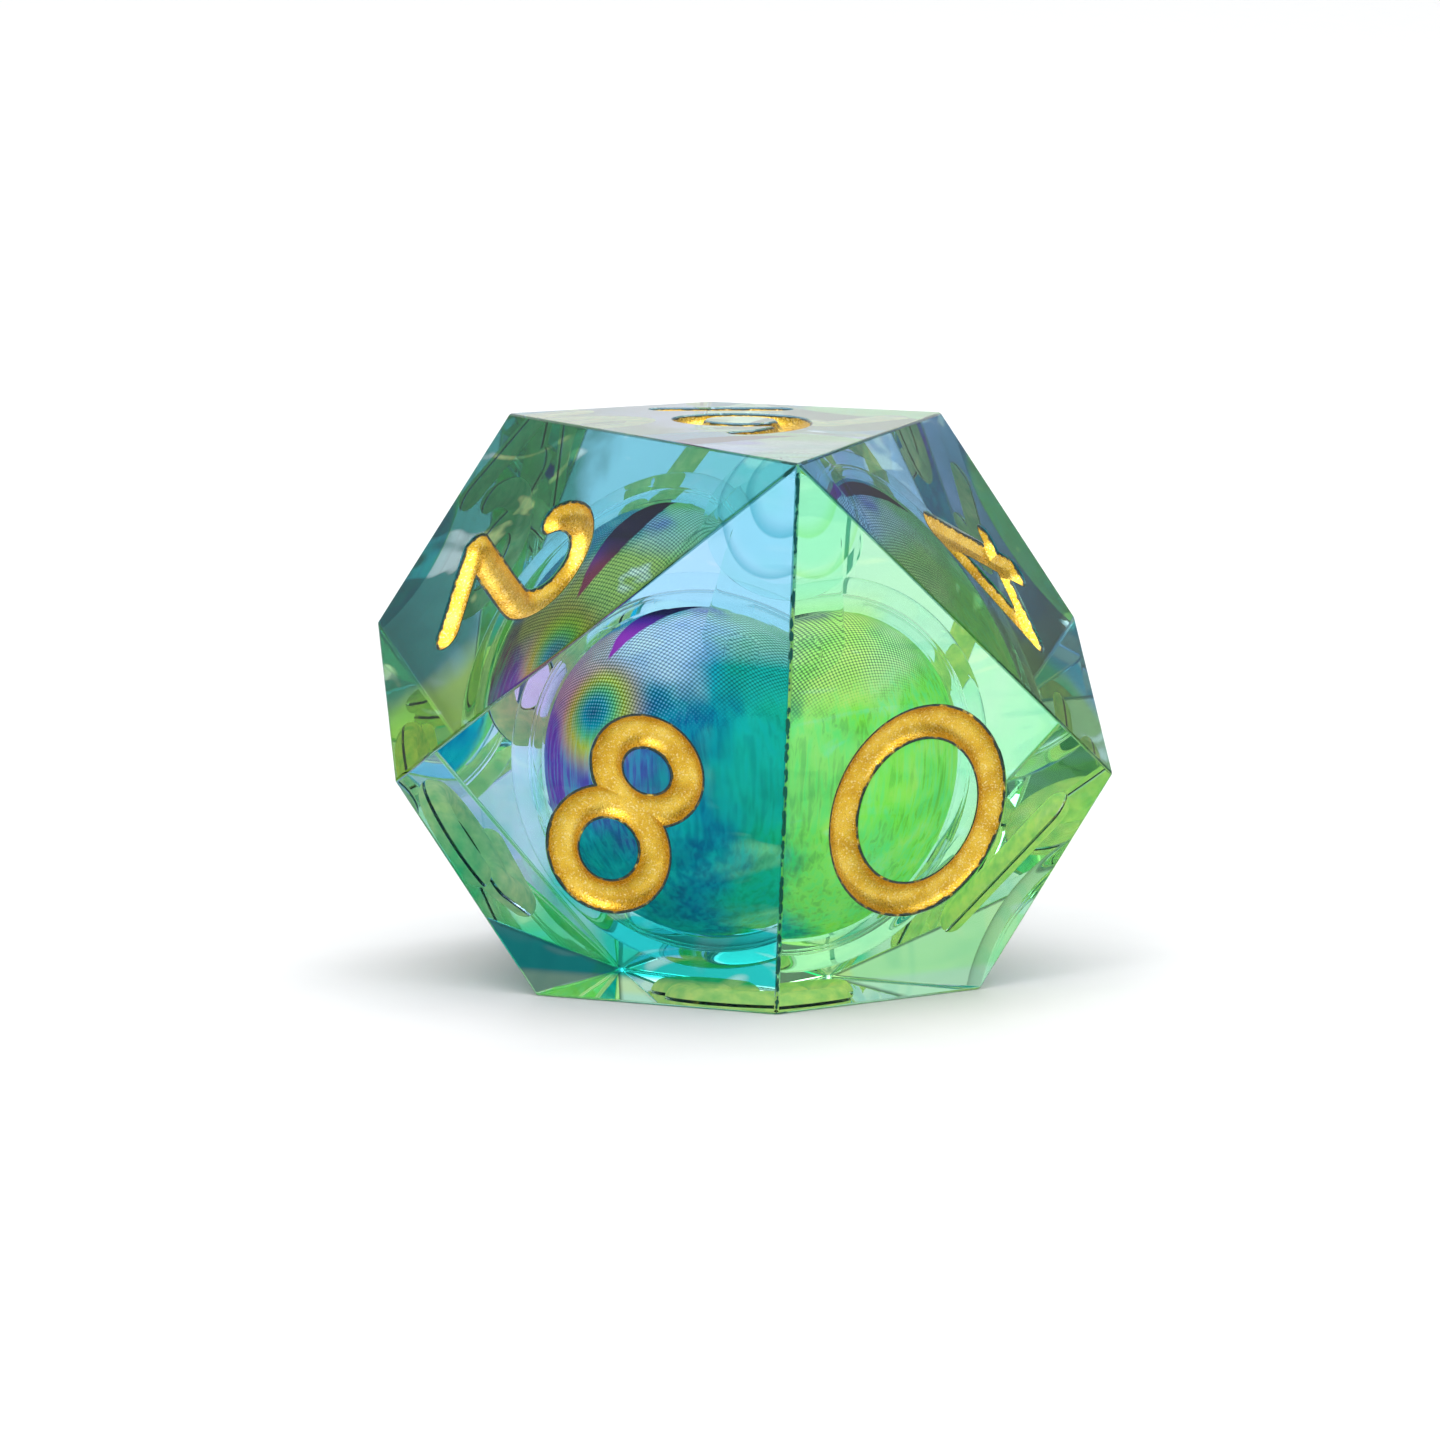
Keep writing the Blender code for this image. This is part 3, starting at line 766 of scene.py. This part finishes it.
# Fields of colour on the eyeball, painted one over another:
# (height, heading, radius and softness in degrees, darkest, middle and palest colour)
EYE_FIELDS = (
    (0, 5, 96, 16, (0.24, 0.70, 0.12), (0.36, 0.88, 0.17), (0.62, 0.97, 0.26)),
    (6, -79, 27, 14, (0.24, 0.68, 0.38), (0.32, 0.80, 0.50), (0.46, 0.88, 0.58)),
    (-42, -68, 30, 14, (0.24, 0.70, 0.30), (0.32, 0.84, 0.38), (0.46, 0.92, 0.46)),
    (-4, -136, 28, 18, (0.08, 0.08, 0.44), (0.12, 0.12, 0.50), (0.03, 0.26, 0.52)),
    (54, -66, 40, 16, (0.56, 0.90, 0.44), (0.70, 0.95, 0.54), (0.82, 0.98, 0.62)),
    (4, 178, 40, 26, (0.14, 0.05, 0.50), (0.30, 0.07, 0.56), (0.44, 0.12, 0.50)),
    (36, -172, 25, 12, (0.66, 0.34, 0.44), (0.80, 0.50, 0.44), (0.90, 0.66, 0.56)),
    (52, -124, 30, 16, (0.66, 0.76, 0.90), (0.90, 0.95, 0.98), (0.98, 0.99, 0.99)),
    (80, -110, 12, 8, (0.24, 0.22, 0.66), (0.36, 0.40, 0.70), (0.50, 0.60, 0.60)),
)
RAINBOW_AT = (20, -151)  # height and heading of the rainbow spot's middle, in degrees
RAINBOW_RADIUS = 25.0
SLIT_SIDE = direction(radians(-4.5), radians(117.4))  # across the slit pupil
SLIT_LENGTH = 0.62  # half of it, as a share of the ball's radius
SLIT_WIDTH = 0.138
DOT_SCALE = 70.0
PAINTED_PRINT_GLOW = 0.45  # painted glow of the print, so that the ball looks brighter through the resin


def angle_from(n, out, height, heading):
    """Angle in degrees from a point on the ball to the place at this height and heading."""
    share = n.dot(out, direction(radians(height), radians(heading)))
    return n.times(n.math("ARCCOSINE", share), 180 / pi)


def fields_of_colour(n, out, drift):
    marble = n.noise(out, 3.4, 4.0, 0.8)
    blue, teal, green = (0.0, 0.22, 0.42), (0.0, 0.38, 0.50), (0.0, 0.55, 0.50)
    colour = n.ramp(marble, (0.3, blue), (0.5, teal), (0.7, green))
    for height, heading, radius, soft, dark, middle, pale in EYE_FIELDS:
        field = n.ramp(marble, (0.3, dark), (0.5, middle), (0.7, pale))
        reach = n.plus(angle_from(n, out, height, heading), drift)
        colour = n.mix(n.range(reach, radius, radius - soft), colour, field)
    ring = n.math("DIVIDE", angle_from(n, out, *RAINBOW_AT), RAINBOW_RADIUS)
    rainbow = n.ramp(
        ring,
        (0.0, (0.0, 0.16, 0.30)),
        (0.20, (0.0, 0.50, 0.55)),
        (0.36, (0.20, 0.75, 0.20)),
        (0.52, (0.85, 0.80, 0.05)),
        (0.72, (0.90, 0.50, 0.25)),
        (1.0, (0.80, 0.42, 0.55)),
    )
    return n.mix(n.range(ring, 1.0, 0.6), colour, rainbow)


def halftone_dots(n, along, across, front):
    """Distance from the middle of the nearest printed dot. The grid is flattened from the ball."""
    grid = n.tree.nodes.new("ShaderNodeCombineXYZ")
    flat = n.math("DIVIDE", 1.0, n.plus(1.0, front))
    n.put(n.times(along, flat), grid.inputs[0])
    n.put(n.times(across, flat), grid.inputs[1])
    return n.voronoi(grid.outputs[0], DOT_SCALE, 0.0)


def with_strands(n, colour, out, lower):
    """Upright strands of brighter and darker colour on the lower part of the ball."""
    strand = n.noise(n.vector("MULTIPLY", out, Vector((26.0, 26.0, 3.0))), 1.0, 4.0, 0.6)
    streaks = n.times(n.range(strand, 0.42, 0.66), lower)
    colour = n.mix(n.times(streaks, 0.35), colour, (0.02, 0.80, 0.70))
    shade = n.times(n.range(strand, 0.52, 0.34), lower)
    return n.mix(n.times(shade, 0.35), colour, (0.15, 0.45, 0.60), "MULTIPLY")


def with_slit(n, colour, out, along, across, front):
    """The slit pupil: black, with a purple end."""
    reach = n.math("POWER", n.math("DIVIDE", along, SLIT_LENGTH), 2.0)
    half_width = n.times(n.minus(1.0, reach), SLIT_WIDTH)
    half_width = n.plus(half_width, n.wobble(0.035, out, 9.0))
    inside = n.minus(half_width, n.math("ABSOLUTE", across))
    in_front = n.math("GREATER_THAN", front, 0.0)
    slit = n.times(n.range(inside, -0.008, 0.012), in_front)
    slit_colour = n.ramp(
        n.plus(along, 0.5),
        (0.0, (0.004, 0.003, 0.010)),
        (0.64, (0.02, 0.008, 0.05)),
        (0.77, (0.12, 0.02, 0.28)),
        (0.94, (0.52, 0.04, 0.48)),
    )
    return n.mix(slit, colour, slit_colour)


def eye_print():
    """A printed eye: a slit pupil, soft fields of colour, halftone dots and strands below them, with
    a painted glow.
    """
    n = new_material("eye_print_looks")
    gaze = direction(GAZE_HEIGHT, GAZE_HEADING)
    down = gaze.cross(SLIT_SIDE).normalized()  # the slit's long way
    out = n.vector("NORMALIZE", n.vector("SUBTRACT", n.position(), CORE))
    along, across, front = (n.dot(out, way) for way in (down, gaze.cross(down), gaze))
    drift = n.wobble(34.0, out, 2.2)
    colour = fields_of_colour(n, out, drift)

    dot = halftone_dots(n, along, across, front)
    upper = n.range(n.plus(front, n.times(drift, 0.006)), 0.30, 0.60)
    dots = n.times(n.range(dot, 0.28, 0.55), upper)
    colour = n.mix(n.times(dots, 0.85), colour, (0.05, 0.16, 0.22), "MULTIPLY")
    paler = n.times(n.range(dot, 0.36, 0.14), upper)
    colour = n.mix(n.times(paler, 0.30), colour, (0.9, 0.95, 1.0))

    colour = with_strands(n, colour, out, n.minus(1.0, upper))
    colour = with_slit(n, colour, out, along, across, front)
    n.set(Base_Color=colour, Roughness=0.38, Specular_IOR_Level=0.0)
    # painted glow: the print gives off light of its own colour
    n.set(Emission_Color=colour, Emission_Strength=PAINTED_PRINT_GLOW)
    n.bump(dots, 0.25, 0.01 * MM)
    return n.material


def plain_floor():
    n = new_material("floor_looks")
    fleck = n.noise(n.position(), 300.0, 3.0)
    n.set(Base_Color=n.ramp(fleck, (0.3, (0.535, 0.540, 0.546)), (0.7, (0.550, 0.554, 0.560))))
    n.set(Roughness=0.6, Specular_IOR_Level=0.2)
    return n.material


def brushed_steel():
    n = new_material("ballast_looks")
    grain = n.noise(n.vector("MULTIPLY", n.position(), (4000.0, 400.0, 400.0)), 1.0, 3.0)
    n.set(Base_Color=n.ramp(grain, (0.3, (0.42, 0.42, 0.44)), (0.7, (0.62, 0.62, 0.64))))
    n.set(Metallic=1.0, Roughness=n.range(grain, 0.3, 0.7, 0.25, 0.42))
    return n.material


# ---- The pieces --------------------------------------------------------------------------------


def finish_piece(obj, body, slot, materials, *nodes):
    for material in materials:
        obj.data.materials.append(material)
    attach(obj, body)
    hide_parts(*nodes)


def make_outside(die):
    body = resin_casting(die)
    mark_kites(body, die)
    finish_piece(body, "die", "tinted_resin", [tinted_resin(die)], "resin_body")
    gold = [gold_paint(die), gold_paint_back()]
    for name, strokes, place in engraving(die):
        lining = paint_lining(name.replace("_paint", "_gold"), strokes, place)
        finish_piece(lining, "die", "gold_paint", gold, name)


def half_shell(name, start, end, place):
    inner = CAPSULE_RADIUS - CAPSULE_WALL
    outline = ball_line(CAPSULE_RADIUS, start, end, 44) + ball_line(inner, end, start, 44)
    return turned(name, outline, place)


def make_capsule(place):
    """Two half shells, and the stopper in the front one's filling hole."""
    clear = inner_glass("clear_acrylic_looks", (0.93, 0.99, 0.99), 1.009)
    hole = CAPSULE_HOLE / CAPSULE_RADIUS
    front = half_shell("capsule_front", hole, pi / 2 - CAPSULE_SEAM, place)
    rear = half_shell("capsule_rear", pi / 2 + CAPSULE_SEAM, pi, place)
    finish_piece(front, "die", "clear_acrylic", [clear], "capsule_front_half")
    finish_piece(rear, "die", "clear_acrylic", [clear], "capsule_rear_half")

    top = CAPSULE_RADIUS + 0.03 * MM
    bottom = CAPSULE_RADIUS - CAPSULE_WALL
    pin = [(0, top), (STOPPER_RADIUS - 0.07 * MM, top), (STOPPER_RADIUS, top - 0.07 * MM)]
    pin += [(STOPPER_RADIUS, bottom + 0.05 * MM), (STOPPER_RADIUS - 0.05 * MM, bottom), (0, bottom)]
    stopper = turned("capsule_filler_pin", pin, place)
    finish_piece(stopper, "die", "clear_acrylic", [clear], "capsule_stopper")


def make_plug(die, place):
    """The stepped plug, with a cone that ends just below the near apex."""
    glass = inner_glass("plug_resin_looks", (0.86, 0.98, 0.96), 1.006)
    apex = (DIE_CENTRE + die.apex - CORE).length
    shoulder = apex - 2.9 * MM
    head, stem = PORT_RADIUS - PLUG_GAP, PORT_CORE_RADIUS - PLUG_GAP
    cone = [(0, apex - 0.35 * MM), (0.35 * MM, apex - 0.9 * MM), (head, shoulder)]
    step = [(head, PLUG_STEP + 0.1 * MM), (head - 0.1 * MM, PLUG_STEP), (stem, PLUG_STEP)]
    plug = turned("filled_port", cone + step + [(stem, PLUG_END), (0, PLUG_END)], place)
    finish_piece(plug, "die", "tinted_resin", [glass], "fill_plug")


def make_liquid():
    oil = inner_glass("clear_oil_looks", (0.97, 1.0, 1.0), 0.996)
    outline = ball_line(LIQUID_RADIUS, BUBBLE, pi, 60) + ball_line(EYE_ROOM_RADIUS, pi, BUBBLE, 60)
    liquid = turned("filling_oil", outline, Matrix.Translation(CORE))
    finish_piece(liquid, "liquid", "clear_oil", [oil], "core_liquid")


def make_eye():
    """The printed film, one ball for the two eye shells, and the CAD's own ballast in steel."""
    place = facing(CORE, direction(GAZE_HEIGHT, GAZE_HEADING))
    material = eye_print()
    film = ball_line(EYE_RADIUS, 0, FILM_RIM, 70) + ball_line(EYE_RADIUS - FILM_WALL, FILM_RIM, 0, 30)
    cap = turned("printed_iris_film", film, place)
    finish_piece(cap, "eyeball", "eye_print", [material], "eye_print_film")
    outer = EYE_RADIUS - SHELL_DROP
    rim = FILM_RIM - 0.01
    shell = ball_line(outer, rim, pi, 90) + ball_line(outer - SHELL_WALL, pi, rim, 40)
    ball = turned("eyeball_shell", shell, place)
    finish_piece(ball, "eyeball", "eye_plastic", [material], "eye_front_shell", "eye_rear_shell")
    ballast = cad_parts["eye_ballast"]
    ballast.data.materials.clear()
    ballast.data.materials.append(brushed_steel())


# ---- The stage ---------------------------------------------------------------------------------

# Brightness of the studio by direction: dim walls, a lit backdrop and front, and a bright ceiling
WALL_LIGHT = 0.28
FRONT_LIGHT = 0.80
BACKDROP_LIGHT = 0.66
BACKDROP_AT = Vector((-0.20, 0.95, 0.10)).normalized()
CEILING_LIGHT = 3.4
LAMPS = (  # (name, place, power in watts, size)
    ("key", (-0.22, -0.26, 0.48), 0.9, 0.26),
    ("rim", (0.26, 0.22, 0.40), 0.6, 0.24),
)

# The camera stands a little above the table and to the left of the near apex
VIEW_HEADING = radians(7.915)
VIEW_HEIGHT = radians(7.856)
VIEW_ROLL = radians(0.604)
VIEW_DISTANCE = 17.741 * BELT_RADIUS
SENSOR_WIDTH = 36.0
FOCAL_LENGTH = 166.8
LENS_SHIFT = (-0.0155, -0.0126)


def make_floor():
    shape = bmesh.new()
    bmesh.ops.create_grid(shape, x_segments=1, y_segments=1, size=1.5)
    floor = object_from("floor", shape)
    floor.location.z = -0.01 * MM
    floor.data.materials.append(plain_floor())
    floor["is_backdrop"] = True


def make_studio():
    world = bpy.data.worlds.new("studio")
    bpy.context.scene.world = world
    n = Nodes(world)
    towards = n.tree.nodes.new("ShaderNodeTexCoord").outputs["Generated"]
    front = n.range(n.dot(towards, BACK), -0.15, -0.60, 0.0, FRONT_LIGHT)
    backdrop = n.range(n.dot(towards, BACKDROP_AT), 0.72, 0.95, 0.0, BACKDROP_LIGHT)
    ceiling = n.range(n.dot(towards, UP), 0.66, 0.88, 0.0, CEILING_LIGHT)
    brightest = n.highest(n.highest(front, backdrop), ceiling)
    sky = n.tree.nodes["Background"]
    sky.inputs["Color"].default_value = (1.0, 1.0, 1.0, 1.0)
    n.put(n.plus(brightest, WALL_LIGHT), sky.inputs["Strength"])


def make_lamps():
    for name, spot, power, size in LAMPS:
        lamp = bpy.data.lights.new(name, "AREA")
        lamp.energy = power
        lamp.size = size
        made = add_object(name, lamp)
        made.location = spot
        made.rotation_euler = (DIE_CENTRE - Vector(spot)).to_track_quat("-Z", "Y").to_euler()


def make_camera():
    """A long lens with a slight roll."""
    level = cos(VIEW_HEIGHT)
    back = Vector((-sin(VIEW_HEADING) * level, -cos(VIEW_HEADING) * level, sin(VIEW_HEIGHT)))
    right = (-back).cross(UP).normalized()
    up = right.cross(-back)
    turned_right = right * cos(VIEW_ROLL) + up * sin(VIEW_ROLL)
    turned_up = up * cos(VIEW_ROLL) - right * sin(VIEW_ROLL)
    lens = bpy.data.cameras.new("camera")
    lens.sensor_width = SENSOR_WIDTH
    lens.lens = FOCAL_LENGTH
    lens.shift_x, lens.shift_y = LENS_SHIFT
    lens.clip_start = 0.01
    camera = add_object("camera", lens)
    place = Matrix((turned_right, turned_up, back)).transposed().to_4x4()
    place.translation = DIE_CENTRE + back * VIEW_DISTANCE
    camera.matrix_world = place
    bpy.context.scene.camera = camera


def make_look():
    """Plain colours, and enough bounces for light to cross the nested clear solids."""
    scene = bpy.context.scene
    scene.view_settings.view_transform = "Standard"
    scene.cycles.max_bounces = 40
    scene.cycles.transmission_bounces = 40
    scene.cycles.glossy_bounces = 16


def main():
    die = Die()
    make_outside(die)
    fill_place = facing(CORE, die.port_axis())
    make_capsule(fill_place)
    make_plug(die, fill_place)
    make_liquid()
    make_eye()
    make_floor()
    make_studio()
    make_lamps()
    make_camera()
    make_look()


main()
visual_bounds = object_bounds()
both = {"cad": cad_bounds, "visual": visual_bounds}
{key: [list(map(float, corner)) for corner in box] for key, box in both.items()}
